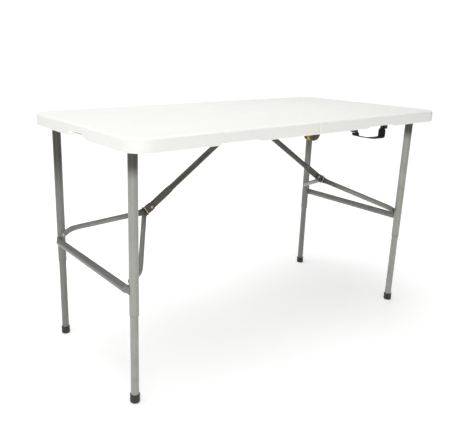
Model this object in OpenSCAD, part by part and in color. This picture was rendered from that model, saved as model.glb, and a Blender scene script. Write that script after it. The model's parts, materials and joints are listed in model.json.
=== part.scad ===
// Fold-in-half table: two moulded top halves, two folding tube leg frames,
// each with a crossbar, a two-armed strut, a brace and a sliding lock ring.
// Everything is drawn on the left half; the right half is its mirror image.
// Millimetres, +Z up, origin on the floor below the centre of the top.

/* [Table top] */
// Length with both halves open
table_length = 1220; // [1160:10:1300]
// Depth from front edge to rear edge
table_depth = 610; // [580:10:700]
// Height of the table top above the floor
table_height = 725; // [715:1:740]
// Height of the moulded rim
rim_height = 35; // [32:1:40]
// Thickness of the double-wall panel inside the rim
panel_thickness = 17; // [14:1:18]
// Thickness of the front and rear rim walls
side_wall = 14; // [10:1:16]
// Thickness of the end rim walls
end_wall = 19; // [14:1:22]
// Thickness of the rim wall beside the centre seam
seam_wall = 10; // [8:0.5:11]
// Gap between the two halves at the seam
seam_gap = 1.5; // [1:0.5:2]
// Plan radius of the outer corners
corner_radius = 60; // [40:5:80]
// Rounding along the top edge
edge_radius = 8; // [4:1:12]

/* [Leg frames] */
// Distance of the legs from the centre seam
leg_x = 563; // [555:1:570]
// Distance of the legs from the centre line
leg_y = 225; // [215:1:235]
// Outer diameter of the upper leg tubes
leg_od = 25.4; // [25:0.1:26]
// Outer diameter of the lower leg tubes
lower_leg_od = 22.2; // [22:0.1:23.6]
// Height of the upper tubes' lower ends above the floor
leg_seam_z = 257; // [245:1:270]
// Diameter of the tube that the leg frame turns on
pivot_tube_od = 18; // [16:1:20]
// Diameter of the crossbar between the legs
crossbar_od = 22; // [18:1:24]
// Height of the crossbar above the floor
crossbar_z = 327; // [320:1:330]
// Diameter of the foot caps
foot_od = 27.5; // [26:0.5:32]
// Height of the foot caps
foot_height = 24; // [18:1:30]

/* [Braces] */
// Diameter of the brace tube
brace_od = 18; // [16:1:20]
// Diameter of the strut arms
arm_od = 17.5; // [15:0.5:17.5]
// Distance of the brace-to-strut joint from the seam
joint_x = 370; // [368:1:372]
// Height of the brace-to-strut joint
joint_z = 461; // [460:1:462]
// Height of the strut pivots on the legs
strut_pivot_z = 347; // [346:1:348]

/* [Handle] */
// Width of the carrying strap
strap_width = 26; // [20:1:28]
// Thickness of the carrying strap
strap_thickness = 3.6; // [3:0.2:4]

/* [Hidden] */
$fn = 48;

FRONT = -1;
REAR = 1;
eps = 0.01;
gap = 0.3;                 // between bodies that move past each other
fit = 0.08;                // radial clearance of a turning or sliding fit

rim_z = table_height - rim_height;
ceiling_z = table_height - panel_thickness;
seam_x = seam_gap / 2;
panel_skin = 2.4;          // wall of the hollow panel
hollow_edge = 8;           // solid margin between the panel's hollow and the rim walls

pivot_z = 694;             // axis of the leg frame under the panel
leg_wall = leg_od / 2 - lower_leg_od / 2 - 0.1;
lower_leg_wall = 1.5;
leg_spigot = 78;           // length of lower leg inside the upper one
leg_bore_top = 610;        // room above it, for the lower leg to slide up
pivot_tube_wall = 1.5;
crossbar_out = 14.5;       // the crossbar sits this far outside the legs' plane
crossbar_wall = 1.2;
crossbar_end = 3;          // thickness of its flattened ends
crossbar_flare = 12;       // length over which it is pressed flat
crossbar_wrap = 65;        // angle that each end wraps round its leg

brace_pin_x = 26;
brace_pin_z = 692;
strut_angle = atan2(joint_z - strut_pivot_z, leg_x - joint_x);
strut_length = norm([leg_x - joint_x, joint_z - strut_pivot_z]);
brace_angle = atan2(brace_pin_z - joint_z, joint_x - brace_pin_x);
brace_length = norm([joint_x - brace_pin_x, brace_pin_z - joint_z]);

plate_inner = 3.5;         // half the gap between the strut's two joint plates
plate_thickness = 2.5;
plate_radius = 11.5;
plate_length = 43;
tab_thickness = 2.5;
tab_radius = 9;
tab_length = 38;
tab_face = leg_y - leg_od / 2 - gap;
brace_wall = 1.5;
flat_thickness = 6;        // the brace is pressed flat towards the joint
flat_start = 82;           // from the joint, where the flat begins
tongue_length = 26;        // past the joint
joint_pin_r = 3;
rivet_r = 4.5;
leg_rivet_r = 3.5;         // on the outside of each leg
rivet_head = 2;

ring_wire_r = 1.2;
ring_at = 21.5;            // from the joint, towards the legs
ring_half_width = 10.3;
ring_half_height = 13.9;
ring_corner = 4;
ring_slit = 4.2;           // half the slit on the ring's underside

saddle_y = 150;
saddle_width = 20;
saddle_radius = pivot_tube_od / 2 + 2.6;
saddle_foot = 27.5;        // from the axis to the end of each foot
saddle_screw_x = 20;
screw_head_r = 4.5;
screw_head_h = 2.2;
screw_r = 2;
screw_bite = 9;            // depth of thread in the panel

hinge_y = 279;
hinge_z = 680;
hinge_pin_r = 4;
ear_radius = 9.3;
ear_thickness = 2;
ear_outer = 11;            // half width over the left leaf's ears
leaf_reach = 62;
ear_reach = 23.5;
ear_curve = 19.5;
pin_head_r = 5.5;
pin_head_h = 1.2;
sleeve_r = 8;
sleeve_tail = [15, 12];    // length and height of the sleeve's tail

handle_y = 276;
handle_left_x = 200;
handle_right_x = 334;
handle_pivot_z = 686;
handle_drop = 652;
lug_drop = 9;              // from the handle's pin to the strap's full width
handle_pin_r = 3;
handle_lug_r = 7.5;
anchor_length = 12;
anchor_width = 18;
anchor_drop = 7;

// ---------------------------------------------------------------- helpers

// Puts a left-hand shape on the left (-1) or, mirrored, on the right (1)
module on_side(side) {
    if (side < 0) children();
    else mirror([1, 0, 0]) children();
}

// Puts a front shape at the front (-1) or, mirrored, at the rear (1)
module on_end(end) {
    if (end < 0) children();
    else mirror([0, 1, 0]) children();
}

module rod(r, length) cylinder(r = r, h = length, center = true);

// Cylinder along Y between two places
module y_rod(r, from, to) {
    translate([0, from, 0]) rotate([-90, 0, 0]) cylinder(r = r, h = to - from);
}

// Extrudes a shape drawn in X and Z along Y, between two places
module y_plate(from, to) {
    translate([0, to, 0]) rotate([90, 0, 0]) linear_extrude(to - from) children();
}

// Local frame at the strut-to-brace joint: X runs up the strut, away from the legs
module at_joint() translate([-joint_x, 0, joint_z]) rotate([0, -strut_angle, 0]) children();

// Local frame at the brace's upper pin: the joint lies at X = -brace_length
module at_brace_pin() translate([-brace_pin_x, 0, brace_pin_z]) rotate([0, -brace_angle, 0]) children();

// Pan head with its shank above it, at the origin, head downwards
module screw_up(shank) {
    translate([0, 0, -screw_head_h]) cylinder(r = screw_head_r, h = screw_head_h);
    translate([0, 0, -eps]) cylinder(r = screw_r, h = shank + eps);
}

// ---------------------------------------------------------------- table top

module half_plan(end_inset, side_inset, seam_inset, radius) {
    x0 = -table_length / 2 + end_inset;
    x1 = -seam_x - seam_inset;
    y1 = table_depth / 2 - side_inset;
    translate([x0 + radius, -y1]) square([x1 - x0 - radius, 2 * y1]);
    translate([x0, -y1 + radius]) square([radius + 1, 2 * (y1 - radius)]);
    for (s = [-1, 1]) translate([x0 + radius, s * (y1 - radius)]) circle(r = radius, $fn = 96);
}

// Rectangle with its upper corners rounded, from x0 to x1
module rounded_top_profile(x0, x1, r0, r1) {
    translate([x0, rim_z]) square([x1 - x0, rim_height - max(r0, r1)]);
    translate([x0 + r0, rim_z]) square([x1 - x0 - r0 - r1, rim_height]);
    translate([x0 + r0, table_height - r0]) circle(r = r0);
    translate([x1 - r1, table_height - r1]) circle(r = r1);
    translate([x0, rim_z]) square([r0, rim_height - r0]);
    translate([x1 - r1, rim_z]) square([r1, rim_height - r1]);
}

module half_shell() {
    big = 2 * table_depth;
    intersection() {
        translate([0, 0, rim_z]) linear_extrude(rim_height) half_plan(0, 0, 0, corner_radius);
        y_plate(-big / 2, big / 2)
            rounded_top_profile(-table_length / 2, -seam_x, edge_radius, 3);
        rotate([90, 0, 90]) translate([0, 0, -table_length]) linear_extrude(2 * table_length)
            rounded_top_profile(-table_depth / 2, table_depth / 2, edge_radius, edge_radius);
    }
}

// Finger notch in the end rim, a little forward of the middle
module end_notch() {
    translate([-table_length / 2 - 1, 0, 0]) rotate([90, 0, 90]) linear_extrude(end_wall + 2)
        polygon([[-69, rim_z - 1], [36, rim_z - 1], [25, rim_z + 14], [-49, rim_z + 14]]);
}

// Shallow notch in the front rim: the pair makes the handle's slot when folded
module front_notch() {
    y_plate(-table_depth / 2 - 1, -table_depth / 2 + side_wall + 1)
        polygon([[-361, rim_z - 1], [-223, rim_z - 1], [-229, rim_z + 5], [-355, rim_z + 5]]);
}

// Sealed hollow between the two skins of the moulded panel
module panel_hollow() {
    x0 = -table_length / 2 + end_wall + hollow_edge;
    y1 = table_depth / 2 - side_wall - hollow_edge;
    translate([x0, -y1, ceiling_z + panel_skin])
        cube([-seam_x - seam_wall - hollow_edge - x0, 2 * y1, panel_thickness - 2 * panel_skin]);
}

module top_half(side) {
    color("whitesmoke") on_side(side) difference() {
        half_shell();
        translate([0, 0, rim_z - 1]) linear_extrude(ceiling_z - rim_z + 1)
            half_plan(end_wall, side_wall, seam_wall, corner_radius - side_wall);
        panel_hollow();
        end_notch();
        front_notch();
    }
}

// ---------------------------------------------------------------- leg frame

module pivot_tube(side) {
    half = leg_y + leg_od / 2 + 2;
    color("dimgray") on_side(side) translate([-leg_x, 0, pivot_z]) difference() {
        y_rod(pivot_tube_od / 2, -half, half);
        y_rod(pivot_tube_od / 2 - pivot_tube_wall, -half - 1, half + 1);
    }
}

module upper_leg(side, end) {
    color("silver") on_side(side) on_end(end) translate([-leg_x, -leg_y, 0]) difference() {
        translate([0, 0, leg_seam_z]) cylinder(d = leg_od, h = pivot_z - leg_seam_z);
        translate([0, 0, leg_seam_z - 1])
            cylinder(r = leg_od / 2 - leg_wall, h = leg_bore_top - leg_seam_z + 1);
        translate([0, 0, pivot_z]) y_rod(pivot_tube_od / 2, -leg_od, leg_od);
    }
}

module lower_leg(side, end) {
    color("silver") on_side(side) on_end(end) translate([-leg_x, -leg_y, 0]) difference() {
        translate([0, 0, 4]) cylinder(d = lower_leg_od, h = leg_seam_z + leg_spigot - 4);
        translate([0, 0, foot_height + 1])
            cylinder(r = lower_leg_od / 2 - lower_leg_wall, h = leg_seam_z + leg_spigot);
    }
}

module foot_cap(side, end) {
    color("dimgray") on_side(side) on_end(end) translate([-leg_x, -leg_y, 0]) difference() {
        rotate_extrude() {
            square([foot_od / 2 - 3, foot_height]);
            translate([0, 3]) square([foot_od / 2, foot_height - 3]);
            translate([foot_od / 2 - 3, 3]) circle(r = 3, $fn = 24);
        }
        translate([0, 0, 4]) cylinder(d = lower_leg_od, h = foot_height);
    }
}

// Plan of the crossbar: full width between the legs, pressed flat at each end
module crossbar_plan() {
    axis = -leg_x - crossbar_out;
    face = -leg_x - leg_od / 2;
    flat_y = leg_y - leg_od / 2 - 1.5;
    full_y = flat_y - crossbar_flare;
    for (s = [-1, 1]) polygon([
        [axis - crossbar_od, 0], [axis - crossbar_od / 2, s * full_y],
        [face - crossbar_end, s * flat_y], [face - crossbar_end, s * leg_y],
        [face, s * leg_y], [face, s * flat_y],
        [axis + crossbar_od / 2, s * full_y], [axis + crossbar_od, 0]
    ]);
}

module crossbar(side) {
    bore = leg_y - leg_od / 2 - crossbar_flare - 8;
    color("silver") on_side(side) {
        difference() {
            intersection() {
                translate([-leg_x - crossbar_out, 0, crossbar_z]) y_rod(crossbar_od / 2, -leg_y, leg_y);
                linear_extrude(table_height) crossbar_plan();
            }
            translate([-leg_x - crossbar_out, 0, crossbar_z])
                y_rod(crossbar_od / 2 - crossbar_wall, -bore, bore);
        }
        for (end = [FRONT, REAR]) on_end(end)
            translate([-leg_x, -leg_y, crossbar_z - crossbar_od / 2 + 0.7])
                rotate([0, 0, 180 - crossbar_wrap]) rotate_extrude(angle = crossbar_wrap)
                    translate([leg_od / 2, 0]) square([crossbar_end, crossbar_od - 1.4]);
    }
}

// Outer head and inner pivot stub of the rivet on each leg
module leg_rivets(side) {
    stub_end = leg_y - leg_od / 2 - gap - tab_thickness - gap;
    color("peru") on_side(side) for (end = [FRONT, REAR]) on_end(end) difference() {
        translate([-leg_x, 0, strut_pivot_z]) {
            y_rod(leg_rivet_r, -leg_y - leg_od / 2 - 1.5, -leg_y - leg_od / 2 + 3);
            y_rod(joint_pin_r, -leg_y + leg_od / 2 - 3, -stub_end + eps);
            y_rod(rivet_r, -stub_end, -stub_end + rivet_head);
        }
        translate([-leg_x, -leg_y, strut_pivot_z]) rod(leg_od / 2, 60);
    }
}

// ---------------------------------------------------------------- strut

// One arm: joint plate, tube and the flattened tab that is riveted to the leg
module strut_arm(side, end) {
    tube_from = [-37, -plate_inner - arm_od / 2 - 0.4];
    tube_to = [-strut_length + tab_length - 6, -tab_face + tab_thickness + arm_od / 2 - 4];
    run = tube_to - tube_from;
    color("dimgray") on_side(side) on_end(end) at_joint() difference() {
        union() {
            y_plate(-plate_inner - plate_thickness, -plate_inner) {
                circle(r = plate_radius);
                translate([-plate_length, -plate_radius]) square([plate_length, 2 * plate_radius]);
            }
            translate([tube_from[0], tube_from[1], 0]) rotate([0, 0, atan2(run[1], run[0])])
                translate([-6, 0, 0]) rotate([0, 90, 0]) cylinder(d = arm_od, h = norm(run) + 20);
            y_plate(-tab_face, -tab_face + tab_thickness) {
                translate([-strut_length, 0]) circle(r = tab_radius);
                translate([-strut_length, 1 - tab_radius]) square([tab_length, 2 * tab_radius - 2]);
            }
        }
        translate([-strut_length, 0, 0]) y_rod(joint_pin_r + fit, -leg_y, -leg_y / 2);
        y_plate(-leg_y, -tab_face) translate([-strut_length - 30, -30]) square([120, 60]);
        y_plate(-plate_inner, 10) translate([-100, -30]) square([130, 60]);
    }
}

// Rivet heads on the outside of the joint plates
module joint_rivets(side) {
    face = plate_inner + plate_thickness;
    color("peru") on_side(side) for (end = [FRONT, REAR]) on_end(end) at_joint()
        y_rod(rivet_r, -face - rivet_head, -face);
}

// Wire ring round the joint plates, slit below
module lock_ring(side) {
    w = ring_half_width - ring_corner;
    h = ring_half_height - ring_corner;
    color("rosybrown") on_side(side) at_joint() translate([-ring_at, 0, 0]) {
        for (s = [-1, 1]) {
            translate([0, s * ring_half_width, 0]) rod(ring_wire_r, 2 * h);
            for (t = [-1, 1]) translate([0, s * w, t * h])
                rotate([0, 90, 0]) rotate([0, 0, corner_turn(s, t)])
                    rotate_extrude(angle = 90) translate([ring_corner, 0]) circle(r = ring_wire_r, $fn = 24);
            translate([0, min(s * w, s * ring_slit), -ring_half_height])
                y_rod(ring_wire_r, 0, w - ring_slit);
        }
        translate([0, 0, ring_half_height]) y_rod(ring_wire_r, -w, w);
    }
}

// Start angle of the ring's corner on side s (front -1) and height t (below -1)
function corner_turn(s, t) = t > 0 ? (s > 0 ? 90 : 180) : (s > 0 ? 0 : 270);

// ---------------------------------------------------------------- brace

module brace(side) {
    tip_x = -brace_length - tongue_length + plate_radius;
    color("dimgray") on_side(side) at_brace_pin() difference() {
        union() {
            translate([-brace_length + flat_start - 6, 0, 0]) rotate([0, 90, 0])
                difference() {
                    cylinder(d = brace_od, h = brace_length - flat_start + 6);
                    translate([0, 0, 8])
                        cylinder(r = brace_od / 2 - brace_wall, h = brace_length - flat_start - 26);
                }
            y_rod(brace_od / 2, -brace_od / 2 + 1, brace_od / 2 - 1);
            y_plate(-flat_thickness / 2, flat_thickness / 2) {
                translate([tip_x, -plate_radius])
                    square([flat_start - brace_length - tip_x, 2 * plate_radius]);
                translate([tip_x, 0]) circle(r = plate_radius);
            }
        }
        y_rod(hinge_pin_r + fit, -brace_od, brace_od);
        translate([-brace_length, 0, 0]) y_rod(joint_pin_r + fit, -brace_od, brace_od);
    }
}

module brace_bracket(side) {
    cheek = brace_od / 2 + gap;
    color("dimgray") on_side(side) translate([-brace_pin_x, 0, 0]) difference() {
        union() {
            for (s = [-1, 1]) y_plate(min(s * cheek, s * (cheek + 2)), max(s * cheek, s * (cheek + 2))) {
                translate([-10, brace_pin_z]) square([20, ceiling_z - brace_pin_z]);
                translate([0, brace_pin_z]) circle(r = 10);
            }
            translate([-26, -cheek - 13, ceiling_z - 2]) cube([38, 2 * cheek + 26, 2]);
        }
        translate([0, 0, brace_pin_z]) y_rod(hinge_pin_r + fit, -30, 30);
        for (s = [-1, 1]) translate([-18, s * (cheek + 8), ceiling_z - 3])
            cylinder(r = screw_r + 0.3, h = 6);
    }
}

module brace_pin(side) {
    face = brace_od / 2 + gap + 2;
    color("rosybrown") on_side(side) translate([-brace_pin_x, 0, brace_pin_z]) {
        y_rod(hinge_pin_r, -face, face);
        for (s = [-1, 1]) y_rod(6.5, s < 0 ? -face - 2 : face, s < 0 ? -face : face + 2);
    }
}

module bracket_screws(side) {
    cheek = brace_od / 2 + gap;
    color("rosybrown") on_side(side) for (s = [-1, 1])
        translate([-brace_pin_x - 18, s * (cheek + 8), ceiling_z - 2]) screw_up(2 + screw_bite);
}

// ---------------------------------------------------------------- saddles

module saddles(side) {
    color("dimgray") on_side(side) for (s = [-1, 1]) translate([-leg_x, s * saddle_y, 0]) difference() {
        y_plate(-saddle_width / 2, saddle_width / 2) {
            translate([0, pivot_z]) circle(r = saddle_radius);
            translate([-saddle_radius, pivot_z]) square([2 * saddle_radius, ceiling_z - pivot_z]);
            translate([-saddle_foot, ceiling_z - 2.6]) square([2 * saddle_foot, 2.6]);
        }
        translate([0, 0, pivot_z]) y_rod(pivot_tube_od / 2 + fit, -saddle_width, saddle_width);
        for (t = [-1, 1]) translate([t * saddle_screw_x, 0, ceiling_z - 4])
            cylinder(r = screw_r + 0.3, h = 6);
    }
}

module saddle_screws(side) {
    color("rosybrown") on_side(side) for (s = [-1, 1], t = [-1, 1])
        translate([-leg_x + t * saddle_screw_x, s * saddle_y, ceiling_z - 2.6])
            screw_up(2.6 + screw_bite);
}

// ---------------------------------------------------------------- centre hinges

// Outline of one ear with its upright, left leaf
module leaf_outline() {
    ear_top = rim_z - 0.5;
    polygon([
        [-leaf_reach, ceiling_z], [-seam_wall - 3, ceiling_z], [-seam_wall - 3, ear_top - 3],
        [-ear_reach, ear_top - 3], [-ear_reach, ear_top], [-leaf_reach, ceiling_z - 8]
    ]);
    difference() {
        translate([ear_curve - ear_reach, ear_top]) circle(r = ear_curve);
        translate([-2 * ear_curve, ear_top]) square(4 * ear_curve);
        translate([0, ear_top - 2 * ear_curve]) square(4 * ear_curve);
    }
    translate([0, hinge_z]) circle(r = ear_radius);
}

// Drawn on the left; outer is the half width over its ears
module hinge_leaf(outer) {
    difference() {
        union() {
            for (s = [-1, 1]) translate([0, s * (outer - ear_thickness / 2), 0])
                y_plate(-ear_thickness / 2, ear_thickness / 2) leaf_outline();
            translate([-leaf_reach, -outer, ceiling_z - 2])
                cube([leaf_reach - seam_wall - 3, 2 * outer, 2]);
        }
        translate([0, 0, hinge_z]) y_rod(hinge_pin_r + fit, -30, 30);
        for (x = leaf_screw_xs) translate([x, 0, ceiling_z - 4]) cylinder(r = screw_r + 0.3, h = 6);
    }
}

leaf_screw_xs = [-52, -26];

module hinge_left_leaf(end) {
    color("saddlebrown") translate([0, end * hinge_y, 0]) hinge_leaf(ear_outer);
}

module hinge_right_leaf(end) {
    color("saddlebrown") translate([0, end * hinge_y, 0]) mirror([1, 0, 0])
        hinge_leaf(ear_outer - ear_thickness - gap);
}

module hinge_pin(end) {
    color("rosybrown") translate([0, end * hinge_y, hinge_z]) {
        y_rod(hinge_pin_r, -ear_outer, ear_outer);
        for (s = [-1, 1]) mirror([0, s < 0 ? 1 : 0, 0]) y_rod(pin_head_r, ear_outer, ear_outer + pin_head_h);
    }
}

// Spacer round the pin, with a flat tail that lies between the left leaf's ears
module hinge_sleeve(end) {
    half = ear_outer - 2 * ear_thickness - 2 * gap;
    color("goldenrod") translate([0, end * hinge_y, hinge_z]) difference() {
        union() {
            y_rod(sleeve_r, -half, half);
            y_plate(-half, half) translate([-sleeve_tail[0], 0.5 - sleeve_r])
                square([sleeve_tail[0], sleeve_tail[1]]);
        }
        y_rod(hinge_pin_r + fit, -half - 1, half + 1);
    }
}

module hinge_screws(side) {
    color("rosybrown") on_side(side) for (s = [-1, 1], x = leaf_screw_xs)
        translate([x, s * hinge_y, ceiling_z - 2]) screw_up(2 + screw_bite);
}

// ---------------------------------------------------------------- handle

// Middle line of the hanging strap, from the left lug to the right lug
strap_line = [
    [handle_left_x, handle_pivot_z - lug_drop], [handle_left_x + 1, 670.5], [handle_left_x + 5, 667],
    [handle_left_x + 35, 660.5], [handle_left_x + 73, 653.7], [handle_left_x + 105, handle_drop],
    [handle_right_x - 5, handle_drop], [handle_right_x - 1, 654.5], [handle_right_x, 660],
    [handle_right_x, handle_pivot_z - lug_drop]
];

// Direction of the middle line's piece i, held at its two ends
function strap_run(i) =
    let (k = max(0, min(len(strap_line) - 2, i)), run = strap_line[k + 1] - strap_line[k])
    run / norm(run);

// Point of the strip's edge beside point i, on side s
function strap_edge(i, s) =
    let (a = strap_run(i - 1), b = strap_run(i), mid = (a + b) / norm(a + b))
    strap_line[i] + s * strap_thickness / 2 / (mid * b) * [-mid[1], mid[0]];

// Strip of the strap's thickness along its middle line
module strap_profile() {
    last = len(strap_line) - 1;
    polygon(concat(
        [for (i = [0 : last]) strap_edge(i, 1)],
        [for (i = [last : -1 : 0]) strap_edge(i, -1)]
    ));
}

module carry_handle() {
    color("black") translate([0, -handle_y, 0]) difference() {
        union() {
            y_plate(-strap_width / 2, strap_width / 2) strap_profile();
            for (x = [handle_left_x, handle_right_x]) translate([x - strap_thickness / 2, 0, 0])
                rotate([90, 0, 90]) linear_extrude(strap_thickness) {
                    translate([0, handle_pivot_z]) circle(r = handle_lug_r);
                    translate([-handle_lug_r, handle_pivot_z - lug_drop - 1])
                        square([2 * handle_lug_r, lug_drop + 1]);
                }
        }
        translate([0, 0, handle_pivot_z]) rotate([0, 90, 0]) cylinder(r = handle_pin_r + fit, h = table_length);
    }
}

// Block and pin on the outer side of each end of the handle
module handle_anchors() {
    color("black") for (s = [-1, 1]) at_handle_end(s) {
        difference() {
            translate([gap, -anchor_width / 2, -anchor_drop])
                cube([anchor_length, anchor_width, ceiling_z - handle_pivot_z + anchor_drop]);
            translate([gap + anchor_length / 2, 0, -anchor_drop - 1]) cylinder(r = screw_r + 0.3, h = 60);
        }
        rotate([0, -90, 0]) translate([0, 0, -gap - 0.5])
            cylinder(r = handle_pin_r, h = strap_thickness + 2 * gap + 0.5);
        translate([-strap_thickness - gap, 0, 0]) rotate([0, -90, 0])
            cylinder(r = handle_pin_r + 2, h = 2);
    }
}

module handle_screws() {
    color("rosybrown") for (s = [-1, 1]) at_handle_end(s)
        translate([gap + anchor_length / 2, 0, -anchor_drop])
            screw_up(ceiling_z - handle_pivot_z + anchor_drop + screw_bite);
}

// Outer face of the strap at its left (-1) or right (1) pin, with X pointing outwards
module at_handle_end(s) {
    x = s < 0 ? handle_left_x - strap_thickness / 2 : handle_right_x + strap_thickness / 2;
    translate([x, -handle_y, handle_pivot_z]) mirror([s < 0 ? 1 : 0, 0, 0]) children();
}

// ---------------------------------------------------------------- nodes

top_half(-1);  // left_top
top_half(1);  // right_top
pivot_tube(-1);  // left_pivot_tube
pivot_tube(1);  // right_pivot_tube
upper_leg(-1, FRONT);  // left_front_upper_leg
upper_leg(-1, REAR);  // left_rear_upper_leg
upper_leg(1, FRONT);  // right_front_upper_leg
upper_leg(1, REAR);  // right_rear_upper_leg
lower_leg(-1, FRONT);  // left_front_lower_leg
lower_leg(-1, REAR);  // left_rear_lower_leg
lower_leg(1, FRONT);  // right_front_lower_leg
lower_leg(1, REAR);  // right_rear_lower_leg
foot_cap(-1, FRONT);  // left_front_foot_cap
foot_cap(-1, REAR);  // left_rear_foot_cap
foot_cap(1, FRONT);  // right_front_foot_cap
foot_cap(1, REAR);  // right_rear_foot_cap
crossbar(-1);  // left_crossbar
crossbar(1);  // right_crossbar
leg_rivets(-1);  // left_leg_rivets
leg_rivets(1);  // right_leg_rivets
strut_arm(-1, FRONT);  // left_front_strut_arm
strut_arm(-1, REAR);  // left_rear_strut_arm
strut_arm(1, FRONT);  // right_front_strut_arm
strut_arm(1, REAR);  // right_rear_strut_arm
joint_rivets(-1);  // left_joint_rivets
joint_rivets(1);  // right_joint_rivets
brace(-1);  // left_brace
brace(1);  // right_brace
lock_ring(-1);  // left_lock_ring
lock_ring(1);  // right_lock_ring
saddles(-1);  // left_saddles
saddles(1);  // right_saddles
saddle_screws(-1);  // left_saddle_screws
saddle_screws(1);  // right_saddle_screws
brace_bracket(-1);  // left_brace_bracket
brace_bracket(1);  // right_brace_bracket
brace_pin(-1);  // left_brace_pin
brace_pin(1);  // right_brace_pin
bracket_screws(-1);  // left_bracket_screws
bracket_screws(1);  // right_bracket_screws
hinge_left_leaf(FRONT);  // front_hinge_left_leaf
hinge_left_leaf(REAR);  // rear_hinge_left_leaf
hinge_right_leaf(FRONT);  // front_hinge_right_leaf
hinge_right_leaf(REAR);  // rear_hinge_right_leaf
hinge_pin(FRONT);  // front_hinge_pin
hinge_pin(REAR);  // rear_hinge_pin
hinge_sleeve(FRONT);  // front_hinge_sleeve
hinge_sleeve(REAR);  // rear_hinge_sleeve
hinge_screws(-1);  // left_hinge_screws
hinge_screws(1);  // right_hinge_screws
carry_handle();
handle_anchors();
handle_screws();
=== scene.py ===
import json
import math

import bpy
from mathutils import Matrix, Vector


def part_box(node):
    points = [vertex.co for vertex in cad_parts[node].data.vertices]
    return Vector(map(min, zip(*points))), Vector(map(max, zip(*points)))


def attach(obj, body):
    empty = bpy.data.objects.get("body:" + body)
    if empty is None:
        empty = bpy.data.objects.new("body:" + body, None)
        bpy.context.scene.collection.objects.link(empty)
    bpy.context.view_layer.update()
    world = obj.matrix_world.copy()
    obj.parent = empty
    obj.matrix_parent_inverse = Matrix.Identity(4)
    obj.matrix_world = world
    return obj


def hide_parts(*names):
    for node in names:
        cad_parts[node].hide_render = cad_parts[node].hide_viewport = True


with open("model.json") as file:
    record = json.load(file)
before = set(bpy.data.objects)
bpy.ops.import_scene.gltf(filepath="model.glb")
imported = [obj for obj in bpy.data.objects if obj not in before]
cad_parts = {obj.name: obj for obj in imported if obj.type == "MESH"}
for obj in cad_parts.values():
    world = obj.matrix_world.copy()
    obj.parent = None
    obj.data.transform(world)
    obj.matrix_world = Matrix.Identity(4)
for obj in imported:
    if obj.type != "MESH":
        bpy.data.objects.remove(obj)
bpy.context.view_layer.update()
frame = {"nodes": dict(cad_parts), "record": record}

MM = 0.001
SIDES = {"left": -1, "right": 1}
ENDS = {"front": -1, "rear": 1}
JOINTS = {j["name"]: j for j in frame["record"]["behaviour"]["joints"]}

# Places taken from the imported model
LEG_PIVOT = Vector(JOINTS["left_leg_fold"]["pos_m"])
STRUT_PIVOT = Vector(JOINTS["left_strut_turn"]["pos_m"])
BRACE_PIN = Vector(JOINTS["left_brace_turn"]["pos_m"])


def middle(node):
    lo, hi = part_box(node)
    return (Vector(lo) + Vector(hi)) / 2


def size(node):
    lo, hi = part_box(node)
    return Vector(hi) - Vector(lo)


LEG_X = -LEG_PIVOT.x
LEG_Y = -middle("left_front_upper_leg").y
LEG_R = size("left_front_upper_leg").x / 2
BRACE_JOINT = middle("left_joint_rivets")
BRACE_JOINT.y = 0
CROSSBAR = middle("left_crossbar")
TOP_LO, TOP_HI = (Vector(v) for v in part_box("left_top"))
RIM_Z = TOP_LO.z
TOP_Z = TOP_HI.z
CEILING_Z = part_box("left_saddles")[1][2]


# ------------------------------------------------------------------ mesh helpers

def mesh_piece(name, verts, faces, angle=40):
    """Smooth-shaded object. Edges that turn by more than the angle, in degrees, stay crisp."""
    mesh = bpy.data.meshes.new(name)
    mesh.from_pydata([tuple(v) for v in verts], [], faces)
    mesh.validate()
    obj = bpy.data.objects.new(name, mesh)
    bpy.context.scene.collection.objects.link(obj)
    mesh.shade_smooth()
    mesh.set_sharp_from_angle(angle=math.radians(angle))
    return obj


def loft(rings, closed=False):
    """Verts and faces of a skin through rings of equal length: capped, or closed on itself."""
    n = len(rings[0])
    verts = [p for ring in rings for p in ring]
    faces = []
    count = len(rings)
    for i in range(count if closed else count - 1):
        a, b = i * n, ((i + 1) % count) * n
        for k in range(n):
            m = (k + 1) % n
            faces.append((a + k, a + m, b + m, b + k))
    if not closed:
        faces.append(tuple(reversed(range(n))))
        faces.append(tuple((count - 1) * n + k for k in range(n)))
    return verts, faces


def join(*parts):
    """Several (verts, faces) as one."""
    verts, faces = [], []
    for v, f in parts:
        start = len(verts)
        verts += list(v)
        faces += [tuple(start + i for i in face) for face in f]
    return verts, faces


def placed(part, matrix):
    return [matrix @ Vector(p) for p in part[0]], part[1]


def flipped(part, axis):
    """Mirror image across the plane through the origin, with the faces turned back outwards."""
    verts = []
    for p in part[0]:
        q = Vector(p)
        q[axis] = -q[axis]
        verts.append(q)
    return verts, [tuple(reversed(f)) for f in part[1]]


def circle(r, z, n):
    """Ring of n points round the Z axis."""
    return [(r * math.cos(2 * math.pi * k / n), r * math.sin(2 * math.pi * k / n), z) for k in range(n)]


def lathe(profile, n=48):
    """Skin of (radius, z) points turned about Z. Radius 0 closes an end."""
    return loft([circle(max(r, 1e-5), z, n) for r, z in profile])


def section(width, height, power=2.0):
    """Ring of (across, up) points, from an ellipse at power 2 towards a rounded rectangle."""
    n = 32
    ring = []
    for k in range(n):
        c, s = math.cos(2 * math.pi * (k + 0.5) / n), math.sin(2 * math.pi * (k + 0.5) / n)
        ring.append((
            width / 2 * math.copysign(abs(c) ** (2 / power), c),
            height / 2 * math.copysign(abs(s) ** (2 / power), s),
        ))
    return ring


def smooth_step(x, a, b):
    t = min(1, max(0, (x - a) / (b - a)))
    return t * t * (3 - 2 * t)


def mix(a, b, t):
    return a + (b - a) * t


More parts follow.
